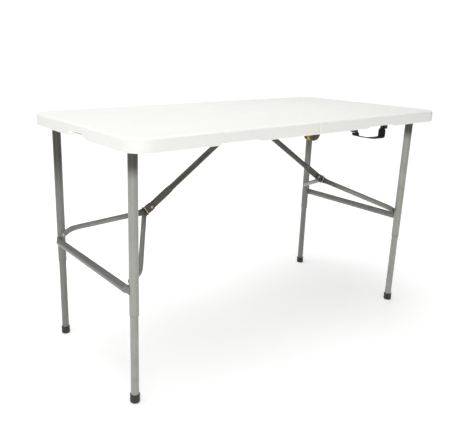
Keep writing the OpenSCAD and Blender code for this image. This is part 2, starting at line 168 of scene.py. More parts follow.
def curve_points(points, steps=8):
    """Catmull-Rom curve through the points."""
    pts = [Vector(p) for p in points]
    pts = [2 * pts[0] - pts[1]] + pts + [2 * pts[-1] - pts[-2]]
    out = []
    for i in range(1, len(pts) - 2):
        p0, p1, p2, p3 = pts[i - 1:i + 3]
        for k in range(steps):
            t = k / steps
            out.append(0.5 * (2 * p1 + (p2 - p0) * t + (2 * p0 - 5 * p1 + 4 * p2 - p3) * t * t
                              + (3 * p1 - p0 - 3 * p2 + p3) * t ** 3))
    out.append(pts[-2])
    return out


def tangents(points):
    out = []
    for i in range(len(points)):
        a, b = points[max(0, i - 1)], points[min(len(points) - 1, i + 1)]
        out.append((b - a).normalized())
    return out


# ------------------------------------------------------------------ materials

def new_material(name, color, roughness, metallic=0.0, **sockets):
    mat = bpy.data.materials.new(name)
    mat.use_nodes = True
    nodes, links = mat.node_tree.nodes, mat.node_tree.links
    shader = nodes["Principled BSDF"]
    shader.inputs["Base Color"].default_value = (*color, 1)
    shader.inputs["Roughness"].default_value = roughness
    shader.inputs["Metallic"].default_value = metallic
    for key, value in sockets.items():
        shader.inputs[key.replace("_", " ")].default_value = value
    return mat, nodes, links, shader


def object_coordinates(nodes):
    return nodes.new("ShaderNodeTexCoord").outputs["Object"]


def noise(nodes, links, vector, scale, detail=3.0, roughness=0.5):
    tex = nodes.new("ShaderNodeTexNoise")
    tex.inputs["Scale"].default_value = scale
    tex.inputs["Detail"].default_value = detail
    tex.inputs["Roughness"].default_value = roughness
    links.new(vector, tex.inputs["Vector"])
    return tex.outputs["Fac"]


def ramp(nodes, links, fac, stops):
    node = nodes.new("ShaderNodeValToRGB")
    elements = node.color_ramp.elements
    while len(elements) < len(stops):
        elements.new(0.5)
    for element, (place, color) in zip(elements, stops):
        element.position = place
        element.color = (*color, 1)
    links.new(fac, node.inputs["Fac"])
    return node.outputs["Color"]


def remap(nodes, links, fac, low, high):
    node = nodes.new("ShaderNodeMapRange")
    node.inputs["To Min"].default_value = low
    node.inputs["To Max"].default_value = high
    links.new(fac, node.inputs["Value"])
    return node.outputs["Result"]


def add_bump(nodes, links, shader, height, strength, distance, before=None):
    bump = nodes.new("ShaderNodeBump")
    bump.inputs["Strength"].default_value = strength
    bump.inputs["Distance"].default_value = distance
    links.new(height, bump.inputs["Height"])
    if before is not None:
        links.new(before.outputs["Normal"], bump.inputs["Normal"])
    links.new(bump.outputs["Normal"], shader.inputs["Normal"])
    return bump


def shade(color, k):
    return tuple(min(1, c * k) for c in color)


def speckled(name, color, roughness, metallic=0.0, spread=0.06, scale=40, grain=900, grain_height=0.00012,
             rough_spread=0.06, **sockets):
    """Even colour with a slow mottle, uneven gloss and a fine grain."""
    mat, nodes, links, shader = new_material(name, color, roughness, metallic, **sockets)
    coords = object_coordinates(nodes)
    slow = noise(nodes, links, coords, scale, 4.0)
    links.new(ramp(nodes, links, slow, [(0.3, shade(color, 1 - spread)), (0.7, shade(color, 1 + spread))]),
              shader.inputs["Base Color"])
    fine = noise(nodes, links, coords, grain, 2.0)
    links.new(remap(nodes, links, noise(nodes, links, coords, scale * 3, 3.0),
                    roughness - rough_spread, roughness + rough_spread), shader.inputs["Roughness"])
    add_bump(nodes, links, shader, fine, 0.5, grain_height)
    return mat


def moulded_plastic():
    """Off-white moulded plastic with a leathery pebble and faint flow marks."""
    color = (0.905, 0.905, 0.870)
    mat, nodes, links, shader = new_material("moulded_plastic", color, 0.46, Specular_IOR_Level=0.42)
    coords = object_coordinates(nodes)
    slow = noise(nodes, links, coords, 3.5, 5.0, 0.6)
    links.new(ramp(nodes, links, slow, [(0.3, shade(color, 0.972)), (0.7, shade(color, 1.012))]),
              shader.inputs["Base Color"])
    pebble = nodes.new("ShaderNodeTexVoronoi")
    pebble.feature = "SMOOTH_F1"
    pebble.inputs["Scale"].default_value = 420
    pebble.inputs["Smoothness"].default_value = 0.7
    links.new(coords, pebble.inputs["Vector"])
    waves = add_bump(nodes, links, shader, noise(nodes, links, coords, 14, 3.0), 0.10, 0.002)
    add_bump(nodes, links, shader, pebble.outputs["Distance"], 0.35, 0.0004, before=waves)
    gloss = noise(nodes, links, coords, 60, 4.0)
    links.new(remap(nodes, links, gloss, 0.40, 0.54), shader.inputs["Roughness"])
    return mat


def powder_coat(name, color, roughness=0.40, painted_shade=None):
    """Powder coat with orange peel and slightly lighter rubbed patches. The last argument, if given, is
    (axis, from, to, dark colour) for painted shade: the coat darkens along that axis between the two
    distances from the origin, standing in for the shade and dark reflections under the table top."""
    mat, nodes, links, shader = new_material(name, color, roughness, 0.25,
                                             Coat_Weight=0.18, Coat_Roughness=0.35)
    coords = object_coordinates(nodes)
    slow = noise(nodes, links, coords, 22, 5.0, 0.6)
    coat = ramp(nodes, links, slow, [(0.28, shade(color, 0.90)), (0.72, shade(color, 1.07))])
    # painted shade: the coat darkens towards the shade under the table top
    if painted_shade:
        axis, start, end, dark = painted_shade
        split = nodes.new("ShaderNodeSeparateXYZ")
        links.new(coords, split.inputs[0])
        distance = nodes.new("ShaderNodeMath")
        distance.operation = "ABSOLUTE"
        links.new(split.outputs[axis], distance.inputs[0])
        along = nodes.new("ShaderNodeMapRange")
        along.interpolation_type = "SMOOTHSTEP"
        along.inputs["From Min"].default_value = start
        along.inputs["From Max"].default_value = end
        links.new(distance.outputs[0], along.inputs["Value"])
        blend = nodes.new("ShaderNodeMix")
        blend.data_type = "RGBA"
        links.new(along.outputs["Result"], blend.inputs["Factor"])
        links.new(coat, blend.inputs[6])
        coat_in_shade = ramp(nodes, links, slow, [(0.28, shade(dark, 0.9)), (0.72, shade(dark, 1.1))])
        links.new(coat_in_shade, blend.inputs[7])
        coat = blend.outputs[2]
    links.new(coat, shader.inputs["Base Color"])
    peel = add_bump(nodes, links, shader, noise(nodes, links, coords, 420, 2.0), 0.30, 0.0003)
    add_bump(nodes, links, shader, noise(nodes, links, coords, 1600, 2.0), 0.25, 0.0001, before=peel)
    links.new(remap(nodes, links, noise(nodes, links, coords, 90, 5.0), roughness - 0.07, roughness + 0.10),
              shader.inputs["Roughness"])
    return mat


def webbing():
    """Black woven strap: ribs across and along it, and dusty, slightly shiny yarn."""
    color = (0.005, 0.005, 0.0055)
    mat, nodes, links, shader = new_material("webbing", color, 0.70, Sheen_Weight=0.06, Sheen_Roughness=0.4,
                                             Specular_IOR_Level=0.25)
    coords = object_coordinates(nodes)
    ribs = []
    for direction, scale in (("X", 190), ("Y", 300)):
        wave = nodes.new("ShaderNodeTexWave")
        wave.bands_direction = direction
        wave.inputs["Scale"].default_value = scale
        wave.inputs["Distortion"].default_value = 0.6
        wave.inputs["Detail"].default_value = 1.0
        links.new(coords, wave.inputs["Vector"])
        ribs.append(wave.outputs["Fac"])
    first = add_bump(nodes, links, shader, ribs[0], 0.6, 0.0006)
    add_bump(nodes, links, shader, ribs[1], 0.6, 0.0005, before=first)
    links.new(ramp(nodes, links, ribs[1], [(0.1, shade(color, 0.5)), (0.9, shade(color, 2.6))]),
              shader.inputs["Base Color"])
    return mat


GREY = (0.190, 0.192, 0.175)
# Lighter grey of the front legs: painted light, the frame coat made brighter where more light falls; the
# rear legs keep the darker frame grey as painted shade.
FRONT_LIT_GREY = (0.315, 0.318, 0.285)
# Lighter grey of the strut arms: painted light.
ARM_LIT_GREY = (0.225, 0.220, 0.200)
# Dark brown that the painted shade reaches at the top of the legs and near the arms' joint; the brace coat
# is drawn from it too.
BROWN = (0.054, 0.047, 0.036)

MATERIALS = {
    "panel": moulded_plastic(),
    "frame_paint": powder_coat("grey_powder_coat", GREY, 0.36),
    # Painted light and shade on the legs: the front legs lighter than the rear, both darkening to brown near
    # the top where the table top shades them.
    "front_leg_light_shade": powder_coat("front_leg_lit_shaded_coat", FRONT_LIT_GREY, 0.32, ("Z", 0.610, 0.655, BROWN)),
    "rear_leg_light_shade": powder_coat("rear_leg_shaded_coat", GREY, 0.34, ("Z", 0.460, 0.620, BROWN)),
    # Arms: painted shade, darkening to brown towards the brace joint, where they lie in the shade and dark
    # reflections under the top.
    "arm_light_shade": powder_coat("arm_shaded_coat", ARM_LIT_GREY, 0.40, ("X", 0.455, 0.388, BROWN)),
    "dark_paint": powder_coat("dark_powder_coat", shade(BROWN, 1.15), 0.42),
    "bracket": powder_coat("bracket_coat", (0.060, 0.057, 0.052), 0.45),
    # Lighter grey for the tube lips and the pivot tubes: painted highlight.
    "lip": powder_coat("tube_lip_highlight", shade(GREY, 1.5), 0.30),
    "cap": speckled("black_plastic", (0.026, 0.022, 0.018), 0.50, spread=0.25, grain=600,
                    grain_height=0.0003),
    "screw": speckled("zinc", (0.52, 0.52, 0.50), 0.34, 1.0, spread=0.12, scale=300, grain=1500),
    "rivet": speckled("brass_rivet", (0.50, 0.37, 0.25), 0.38, 1.0, spread=0.15, scale=400, grain=1500),
    "wire": speckled("copper_wire", (0.70, 0.56, 0.46), 0.32, 1.0, spread=0.10, scale=300, grain=1500),
    "hinge": speckled("bronze_coat", (0.085, 0.062, 0.046), 0.42, 0.35, spread=0.18, scale=120, grain=700),
    "sleeve": speckled("yellow_passivate", (0.62, 0.36, 0.05), 0.36, 0.7, spread=0.22, scale=260, grain=900),
    "strap": webbing(),
    "strap_anchor": speckled("anchor_plastic", (0.014, 0.014, 0.015), 0.5, spread=0.25, grain=600),
    "thread": speckled("stitch_thread", (0.16, 0.15, 0.13), 0.7, spread=0.3, scale=900, grain=2500),
}


def paint(obj, key):
    obj.data.materials.clear()
    obj.data.materials.append(MATERIALS[key])


def finish_piece(obj, key, body, nodes=()):
    paint(obj, key)
    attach(obj, body)
    if nodes:
        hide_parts(*nodes)
    return obj


# ------------------------------------------------------------------ table top

EDGE = 8 * MM  # roll of the top edge
SEAM_EDGE = 1.8 * MM  # the same at the seam
CORNER = 60 * MM  # corner radius in plan
WALL_END = 19 * MM
WALL_SIDE = 14 * MM
WALL_SEAM = 10 * MM
# Shallow notch in the front rim, by distance from the seam, and finger notch in the end rim, by Y:
# where each starts to rise, is full, starts to fall and is over
FRONT_NOTCH = (223 * MM, 229 * MM, 355 * MM, 361 * MM)
FRONT_SLOPE = 6 * MM
FRONT_DEPTH = 5 * MM
END_NOTCH = (-69 * MM, -49 * MM, 25 * MM, 36 * MM)
END_SLOPES = (20 * MM, 11 * MM)
END_DEPTH = 14 * MM


def even_steps(n):
    """n + 1 values from 0 to 1."""
    return [i / n for i in range(n + 1)]


def plan_ring(end, side, seam):
    """Ring of (x, y, edge) round the left half, set in by the three distances."""
    x0, x1 = TOP_LO.x + end, TOP_HI.x - seam
    y1 = TOP_HI.y - side
    r = max(CORNER - max(end, side), 6 * MM)
    seam_r = max(SEAM_EDGE - seam * 0.3, 0.6 * MM)
    ring = []
    span0, span1 = TOP_LO.x + CORNER + 8 * MM, TOP_HI.x - 20 * MM
    end_span = TOP_HI.y - CORNER - 6 * MM
    xs = sorted([mix(span0, span1, t) for t in even_steps(64)] + [-mark for mark in FRONT_NOTCH])
    ys = sorted([mix(-1, 1, t) * end_span for t in even_steps(60)] + list(END_NOTCH))
    for x in xs:
        ring.append((x, -y1, "front"))
    for k in range(5):
        a = math.radians(-90 + 90 * k / 4)
        ring.append((x1 - seam_r + seam_r * math.cos(a), -y1 + seam_r + seam_r * math.sin(a), "corner"))
    for k in range(1, 24):
        ring.append((x1, mix(-y1 + seam_r, y1 - seam_r, k / 24), "seam"))
    for k in range(5):
        a = math.radians(90 * k / 4)
        ring.append((x1 - seam_r + seam_r * math.cos(a), y1 - seam_r + seam_r * math.sin(a), "corner"))
    for x in reversed(xs):
        ring.append((x, y1, "rear"))
    for k in range(17):
        a = math.radians(90 + 90 * k / 16)
        ring.append((x0 + r + r * math.cos(a), y1 - r + r * math.sin(a), "corner"))
    for y in reversed(ys):
        ring.append((x0, y, "end"))
    for k in range(17):
        a = math.radians(180 + 90 * k / 16)
        ring.append((x0 + r + r * math.cos(a), -y1 + r + r * math.sin(a), "corner"))
    return ring


def notch_height(x, y, edge):
    """How far the rim's lower edge is cut away here."""
    if edge == "end":
        rise = min((y - END_NOTCH[0]) / END_SLOPES[0], (END_NOTCH[3] - y) / END_SLOPES[1], 1)
        return END_DEPTH * max(0, rise)
    if edge == "front":
        rise = min((FRONT_NOTCH[3] + x) / FRONT_SLOPE, (-FRONT_NOTCH[0] - x) / FRONT_SLOPE, 1)
        return FRONT_DEPTH * max(0, rise)
    return 0


def top_shell():
    """Left half: crown, rolled edge, skirt with a small roll at its foot, inner wall and ceiling."""
    rings = []

    def add(end, side, seam, z, lift=True):
        ring = []
        for x, y, edge in plan_ring(end, side, seam):
            h = notch_height(x, y, edge) if lift else 0
            ring.append((x, y, max(z, RIM_Z + h + (z - RIM_Z) * 0.25) if h else z))
        rings.append(ring)

    for inset in (44, 26, 14):
        add(inset * MM, inset * MM, inset * 0.35 * MM, TOP_Z, False)
    for k in range(9):
        a = math.radians(90 * k / 8)
        out = 1 - math.sin(a)
        down = 1 - math.cos(a)
        add(EDGE * out, EDGE * out, SEAM_EDGE * out, TOP_Z - EDGE * down, False)
    for z, inset in ((TOP_Z - 14 * MM, 0), (RIM_Z + 12 * MM, 0), (RIM_Z + 4 * MM, 0),
                     (RIM_Z + 1.6 * MM, 0.0), (RIM_Z + 0.5 * MM, 0.5 * MM), (RIM_Z, 1.6 * MM)):
        add(inset, inset, inset * 0.6, z)
    for z, inset in ((RIM_Z, 1.6 * MM), (RIM_Z + 0.5 * MM, 0.5 * MM),
                     (RIM_Z + 1.6 * MM, 0), (RIM_Z + 8 * MM, 0)):
        add(WALL_END - inset, WALL_SIDE - inset, WALL_SEAM - inset, z)
    for k in range(5):
        a = math.radians(90 * k / 4)
        fillet = 3 * MM
        inset = fillet * (1 - math.cos(a))
        z = CEILING_Z - fillet + fillet * math.sin(a)
        add(WALL_END + inset, WALL_SIDE + inset, WALL_SEAM + inset, z, False)
    add(WALL_END + 22 * MM, WALL_SIDE + 22 * MM, WALL_SEAM + 8 * MM, CEILING_Z, False)
    return loft(rings)


def make_tops():
    left = top_shell()
    for side, q in SIDES.items():
        part = left if q < 0 else flipped(left, 0)
        obj = mesh_piece(f"{side}_moulded_top", *part)
        finish_piece(obj, "panel", f"{side}_half", [f"{side}_top"])


# ------------------------------------------------------------------ braces, struts and crossbars

def in_frame(origin, along, point):
    """Point given as (along, y, up) from origin, along a slanted line in the plane of X and Z."""
    up = Vector((-along.z, 0, along.x))
    return origin + along * point[0] + Vector((0, point[1], 0)) + up * point[2]


def bar(origin, along, stations):
    """Skin of a straight bar; stations are (place, thickness in y, height, power)."""
    rings = []
    for place, thick, high, power in stations:
        rings.append([in_frame(origin, along, (place, a, b)) for a, b in section(thick, high, power)])
    return loft(rings)


def quarter_turns(count):
    """Angles that close an end, stopping just short of a right angle."""
    return [math.radians(90 * k / (count - 1) * 0.985) for k in range(count)]


TONGUE = 26 * MM  # the flat's reach past the brace joint
FLAT_R = 11.5 * MM
FLAT_T = 6 * MM
FLAT_END = 68 * MM  # where the flat starts to open into the tube
TUBE_START = 92 * MM
BRACE_OD = 18 * MM
EYE_T = 15 * MM  # the tube's pinched upper end
EYE_R = 8.9 * MM
EYE_START = 30 * MM
EYE_END = 14 * MM


def brace_part():
    along = (BRACE_PIN - BRACE_JOINT).normalized()
    length = (BRACE_PIN - BRACE_JOINT).length
    stations = []
    for k, a in reversed(list(enumerate(quarter_turns(8)))):
        thick = FLAT_T * (1 if k < 7 else 0.8)
        stations.append((-TONGUE + FLAT_R - FLAT_R * math.sin(a), thick, 2 * FLAT_R * math.cos(a), 8))
    stations += [(20 * MM, FLAT_T, 2 * FLAT_R, 8), (FLAT_END, FLAT_T, 2 * FLAT_R, 8)]
    for k in range(1, 13):
        t = smooth_step(k, 0, 12)
        place = mix(FLAT_END, TUBE_START, k / 12)
        stations.append((place, mix(FLAT_T, BRACE_OD, t), mix(2 * FLAT_R, BRACE_OD, t), mix(8, 2, t ** 0.5)))
    stations.append((length - EYE_START, BRACE_OD, BRACE_OD, 2))
    for k in range(1, 7):
        t = smooth_step(k, 0, 6)
        place = length - mix(EYE_START, EYE_END, k / 6)
        stations.append((place, mix(BRACE_OD, EYE_T, t), BRACE_OD, mix(2, 3.2, t)))
    for k, a in enumerate(quarter_turns(8)):
        thick = EYE_T * (1 if k < 6 else 0.9)
        stations.append((length + EYE_R * math.sin(a), thick, BRACE_OD * math.cos(a), 3.2))
    return bar(BRACE_JOINT, along, stations)


ARM_HIGH = 17.5 * MM
ARM_THICK = 13 * MM
PLATE_Y = 4.75 * MM
PLATE_T = 2.5 * MM
TAB_R = 9 * MM


def strut_arm_part():
    """Front arm of the left strut: joint plate, bent tube, flat tab on the leg."""
    along = (BRACE_JOINT - STRUT_PIVOT).normalized()
    reach = (BRACE_JOINT - STRUT_PIVOT).length
    tab_y = LEG_Y - LEG_R - 0.3 * MM - PLATE_T / 2
    path = [(FLAT_R, -PLATE_Y), (-8 * MM, -PLATE_Y), (-23 * MM, -PLATE_Y - 0.2 * MM), (-31 * MM, -8.2 * MM),
            (-41 * MM, -18.8 * MM), (-60 * MM, -43 * MM), (-90 * MM, -81 * MM), (-120 * MM, -119 * MM),
            (-150 * MM, -157 * MM), (-168 * MM, -180 * MM), (-180 * MM, -tab_y + 16.5 * MM),
            (-191 * MM, -tab_y + 5.5 * MM), (-203 * MM, -tab_y + 0.8 * MM), (-reach, -tab_y),
            (-reach - TAB_R, -tab_y)]
    line = curve_points([Vector((u, y, 0)) for u, y in path], 8)
    runs = tangents(line)
    rings = []
    for p, t in zip(line, runs):
        side_dir = Vector((-t.y, t.x, 0))
        u = p.x
        opening = smooth_step(-u, 26 * MM, 44 * MM)
        closing = smooth_step(-u, 176 * MM, 204 * MM)
        round_t = opening * (1 - closing)
        near_tab = -u > 0.5 * reach
        flat_high = 2 * TAB_R if near_tab else 2 * FLAT_R
        if u > 0:
            flat_high = 2 * math.sqrt(max(FLAT_R ** 2 - u * u, 1e-7))
        if -u > reach:
            flat_high = 2 * math.sqrt(max(TAB_R ** 2 - (-u - reach) ** 2, 1e-7))
        thick = mix(PLATE_T, ARM_THICK, round_t)
        high = mix(flat_high, ARM_HIGH, round_t)
        power = mix(8, 2, round_t ** 0.5)
        ring = []
        for a, b in section(thick, high, power):
            q = p + side_dir * a
            ring.append(in_frame(BRACE_JOINT, along, (q.x, q.y, b)))
        rings.append(ring)
    return loft(rings)


def crossbar_part():
    """Left crossbar with its ends pressed into saddles against the outside of the legs."""
    full_r = size("left_crossbar").z / 2
    axis_x = -LEG_X - 14.5 * MM
    z = CROSSBAR.z
    straight_end, end_y = 198, 226
    half = []
    for y in (0, 60, 120, 170, straight_end):
        half.append((y * MM, axis_x - full_r, axis_x + full_r, 2 * full_r, 2))
    for k in range(1, 19):
        y = mix(straight_end, end_y, k / 18) * MM
        t = smooth_step(y, 206 * MM, 217 * MM)
        outer = mix(axis_x - full_r, -LEG_X - LEG_R - 3.1 * MM, t)
        reach = LEG_Y - y
        inside = LEG_R ** 2 - reach ** 2
        inner = axis_x + full_r
        if inside > (3.4 * MM) ** 2:
            inner = min(-LEG_X - math.sqrt(inside) - 0.05 * MM, inner)
        half.append((y, outer, inner, mix(2 * full_r, 21.5 * MM, t), mix(2, 5, t)))
    stations = [(-y, o, i, h, p) for y, o, i, h, p in reversed(half[1:])] + half
    rings = []
    for y, outer, inner, high, power in stations:
        mid = (outer + inner) / 2
        rings.append([(mid + a, y, z + b) for a, b in section(abs(inner - outer), high, power)])
    return loft(rings)


def make_frames():
    brace = brace_part()
    arm = strut_arm_part()
    crossbar = crossbar_part()
    for side, q in SIDES.items():
        def on_side(part):
            return part if q < 0 else flipped(part, 0)
        obj = mesh_piece(f"{side}_brace_tube", *on_side(brace))
        finish_piece(obj, "dark_paint", f"{side}_brace_arm", [f"{side}_brace"])
        obj = mesh_piece(f"{side}_cross_tube", *on_side(crossbar))
        finish_piece(obj, "frame_paint", f"{side}_leg_frame", [f"{side}_crossbar"])
        for end, e in ENDS.items():
            part = arm if e < 0 else flipped(arm, 1)
            obj = mesh_piece(f"{side}_{end}_arm_tube", *on_side(part))
            # painted light and shade on the arms
            finish_piece(obj, "arm_light_shade", f"{side}_strut", [f"{side}_{end}_strut_arm"])


# ------------------------------------------------------------------ small hardware

def y_facing(part, place, direction):
    """A part turned about Z, stood with its +Z along direction * Y, at place."""
    turn = Matrix.Rotation(math.radians(-90 * direction), 4, "X")
    return placed(part, Matrix.Translation(place) @ turn)


def dome(radius, height):
    """Rivet head with a rolled edge, its face at z 0."""
    return lathe([(0, -0.2 * MM), (radius, -0.2 * MM), (radius, height * 0.25),
                  (radius * 0.96, height * 0.45), (radius * 0.80, height * 0.78),
                  (radius * 0.5, height * 0.96), (radius * 0.25, height), (0, height)], 32)


def make_rivets():
    head, high = 4.5 * MM, 2.0 * MM
    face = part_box("left_joint_rivets")[1][1] - high
    tab_inner = LEG_Y - LEG_R - 0.6 * MM - PLATE_T
    shank_end = PLATE_T + 1.4 * MM  # inside the leg's wall, clear of the lower leg that slides in it
    shank = lathe([(0, -shank_end), (3 * MM, -shank_end), (3 * MM, 0.3 * MM), (0, 0.3 * MM)], 24)
    for side, q in SIDES.items():
        joint_parts, leg_parts, tab_parts = [], [], []
        for e in (-1, 1):
            place = Vector((-q * BRACE_JOINT.x, e * face, BRACE_JOINT.z))
            joint_parts.append(y_facing(dome(head, high), place, e))
            outer = Vector((q * LEG_X, e * (LEG_Y + LEG_R - 0.5 * MM), STRUT_PIVOT.z))
            leg_parts.append(y_facing(dome(3.5 * MM, high), outer, e))
            inner = Vector((q * LEG_X, e * tab_inner, STRUT_PIVOT.z))
            tab_parts.append(y_facing(dome(head, high), inner, -e))
            tab_parts.append(y_facing(shank, inner, -e))
        obj = mesh_piece(f"{side}_joint_rivet_heads", *join(*joint_parts))
        finish_piece(obj, "rivet", f"{side}_strut", [f"{side}_joint_rivets"])
        obj = mesh_piece(f"{side}_leg_rivet_heads", *join(*leg_parts))
        finish_piece(obj, "rivet", f"{side}_leg_frame", [f"{side}_leg_rivets"])
        obj = mesh_piece(f"{side}_tab_rivet_heads", *join(*tab_parts))
        finish_piece(obj, "screw", f"{side}_leg_frame")


def make_tube_ends():
    """Rolled end of each upper leg tube: a narrow groove in a near-black coat as painted shade, then a lip
    in a lighter grey as a painted highlight, round the lower tube.
    """
    tube = size("left_front_lower_leg").x / 2 + 0.05 * MM
    end_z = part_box("left_front_upper_leg")[0][2]
    groove_r = LEG_R - 1.2 * MM
    groove = lathe([(tube, -1.1 * MM), (groove_r, -1.1 * MM), (groove_r, 0.2 * MM), (tube, 0.2 * MM)])
    lip = lathe([(tube, -2.9 * MM), (LEG_R - 1.3 * MM, -2.9 * MM), (LEG_R - 0.8 * MM, -2.5 * MM),
                 (LEG_R - 0.6 * MM, -1.9 * MM), (LEG_R - 0.9 * MM, -1.2 * MM), (tube, -1.0 * MM)])
    for side, q in SIDES.items():
        places = [Matrix.Translation((q * LEG_X, e * LEG_Y, end_z)) for e in ENDS.values()]
        obj = mesh_piece(f"{side}_tube_end_grooves", *join(*(placed(groove, place) for place in places)))
        # near-black coat in the groove: painted shade
        finish_piece(obj, "bracket", f"{side}_leg_frame")
        obj = mesh_piece(f"{side}_tube_end_lips", *join(*(placed(lip, place) for place in places)))
        finish_piece(obj, "lip", f"{side}_leg_frame")


def make_lock_rings():
    """Bent wire ring round each brace joint, its ends meeting below."""
    wire, half_w, half_h, corner = 1.2 * MM, 10.3 * MM, 13.9 * MM, 4.5 * MM
    along = (BRACE_JOINT - STRUT_PIVOT).normalized()
    centre = BRACE_JOINT - along * 21.5 * MM
    path = []
    for k in range(4):
        cy = (half_w - corner) * (1 if k in (0, 3) else -1)
        cz = (half_h - corner) * (1 if k in (0, 1) else -1)
        for i in range(9):
            a = math.radians(90 * k + 90 * i / 8)
            path.append((cy + corner * math.cos(a), cz + corner * math.sin(a)))
    count = len(path)
    rings = []
    for i, (py, pz) in enumerate(path):
        ay, az = path[i - 1]
        by, bz = path[(i + 1) % count]
        out = Vector((bz - az, -(by - ay))).normalized()
        ring = []
        for k in range(12):
            a = 2 * math.pi * k / 12
            ring.append(in_frame(centre, along, (wire * math.sin(a), py + out[0] * wire * math.cos(a),
                                                 pz + out[1] * wire * math.cos(a))))
        rings.append(ring)
    part = loft(rings, closed=True)
    for side, q in SIDES.items():
        obj = mesh_piece(f"{side}_ring_wire", *(part if q < 0 else flipped(part, 0)))
        finish_piece(obj, "wire", f"{side}_ring", [f"{side}_lock_ring"])


def make_foot_caps():
    lo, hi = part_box("left_front_foot_cap")
    r, h = (hi[0] - lo[0]) / 2, hi[2]
    tube = size("left_front_lower_leg").x / 2 + 0.1 * MM
    sole = [(0, 0.6 * MM), (r - 5 * MM, 0.6 * MM), (r - 4.2 * MM, 0), (r - 2.6 * MM, 0)]
    wall = [(r - 1.0 * MM, 0.7 * MM), (r - 0.2 * MM, 2.4 * MM), (r, 5 * MM), (r - 0.5 * MM, h - 7 * MM)]
    lip = [(r - 0.55 * MM, h - 4.4 * MM), (r - 0.1 * MM, h - 3.6 * MM), (r, h - 2.6 * MM),
           (r - 0.1 * MM, h - 1.2 * MM), (r - 0.7 * MM, h - 0.3 * MM), (r - 1.4 * MM, h)]
    socket = [(tube, h), (tube, 4 * MM), (0, 4 * MM)]
    part = lathe(sole + wall + lip + socket, 56)
    for side, q in SIDES.items():
        for end, e in ENDS.items():
            place = Matrix.Translation((q * LEG_X, e * LEG_Y, 0))
            obj = mesh_piece(f"{side}_{end}_cap", *placed(part, place))
            finish_piece(obj, "cap", f"{side}_{end}_extension", [f"{side}_{end}_foot_cap"])


SADDLE_Y = 150 * MM
SADDLE_SCREW_X = 20 * MM


def extruded(profile, y0, y1):
    """Closed (x, z) outline drawn out along Y."""
    return loft([[(x, y0, z) for x, z in profile], [(x, y1, z) for x, z in profile]])


def make_saddles():
    """Bent steel straps that hold each pivot tube up to the underside."""
    tube = size("left_pivot_tube").x / 2
    thick, foot, width = 2.4 * MM, 27.5 * MM, 20 * MM
    inner, outer = tube + 0.1 * MM, tube + 2.5 * MM
    z0, ceiling = LEG_PIVOT.z, CEILING_Z
    outside = [(-foot, ceiling), (-foot, ceiling - thick), (-outer - 2.5 * MM, ceiling - thick),
               (-outer - 0.7 * MM, ceiling - thick - 0.8 * MM), (-outer, ceiling - thick - 2.6 * MM)]
    outside += [(outer * math.cos(a), z0 + outer * math.sin(a))
                for a in (math.radians(180 + 180 * k / 24) for k in range(25))]
    outside += [(outer, ceiling - thick - 2.6 * MM), (outer + 0.7 * MM, ceiling - thick - 0.8 * MM),
                (outer + 2.5 * MM, ceiling - thick), (foot, ceiling - thick), (foot, ceiling)]
    inside = [(inner + 2 * MM, ceiling), (inner + 0.5 * MM, ceiling - 1 * MM), (inner, ceiling - 3 * MM)]
    inside += [(inner * math.cos(a), z0 + inner * math.sin(a))
               for a in (math.radians(-180 * k / 24) for k in range(25))]
    inside += [(-inner, ceiling - 3 * MM), (-inner - 0.5 * MM, ceiling - 1 * MM), (-inner - 2 * MM, ceiling)]
    outline = outside + inside
    for side, q in SIDES.items():
        parts = []
        for s in (-1, 1):
            y = middle(f"{side}_saddles").y + s * SADDLE_Y
            strip = extruded(outline, y - width / 2, y + width / 2)
            parts.append(placed(strip, Matrix.Translation((q * LEG_X, 0, 0))))
        obj = mesh_piece(f"{side}_saddle_straps", *join(*parts), angle=30)
        finish_piece(obj, "bracket", f"{side}_half", [f"{side}_saddles"])


HEAD_H = 2.2 * MM  # screw heads


def screw_head(radius, height):
    """Pan head, face at z 0, with a cross recess pressed in as a sunk star."""
    n = 48
    pan = ((1, 0), (1, 0.25), (0.96, 0.5), (0.86, 0.75), (0.7, 0.93), (0.55, 1.0))
    rings = [circle(share * radius, z * height, n) for share, z in pan]
    for depth, grow in ((1.0, 1.0), (0.45, 0.92)):
        ring = []
        for k in range(n):
            a = 2 * math.pi * k / n
            lobe = abs(math.cos(2 * a)) ** 6
            r = radius * grow * mix(0.13, 0.5, lobe)
            ring.append((r * math.cos(a), r * math.sin(a), depth * height))
        rings.append(ring)
    return loft(rings)


def make_screws():
    """Cross-head screws under the top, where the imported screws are."""
    groups = {
        "saddle_screws": [(LEG_X + t * SADDLE_SCREW_X, s * SADDLE_Y) for s in (-1, 1) for t in (-1, 1)],
        "bracket_screws": [(-BRACE_PIN.x + 18 * MM, s * 17.3 * MM) for s in (-1, 1)],
        "hinge_screws": [(x * MM, s * 279 * MM) for s in (-1, 1) for x in (26, 52)],
    }
    for side, q in SIDES.items():
        for name, places in groups.items():
            head_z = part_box(f"{side}_{name}")[0][2] + HEAD_H
            parts = []
            for i, (x, y) in enumerate(places):
                down = Matrix.Rotation(math.pi, 4, "X") @ Matrix.Rotation(0.7 * i, 4, "Z")
                place = Matrix.Translation((q * x, y, head_z)) @ down
                parts.append(placed(screw_head(4.5 * MM, HEAD_H), place))
            obj = mesh_piece(f"{side}_{name}_heads", *join(*parts), angle=35)
            finish_piece(obj, "screw", f"{side}_half", [f"{side}_{name}"])


# ------------------------------------------------------------------ carrying strap

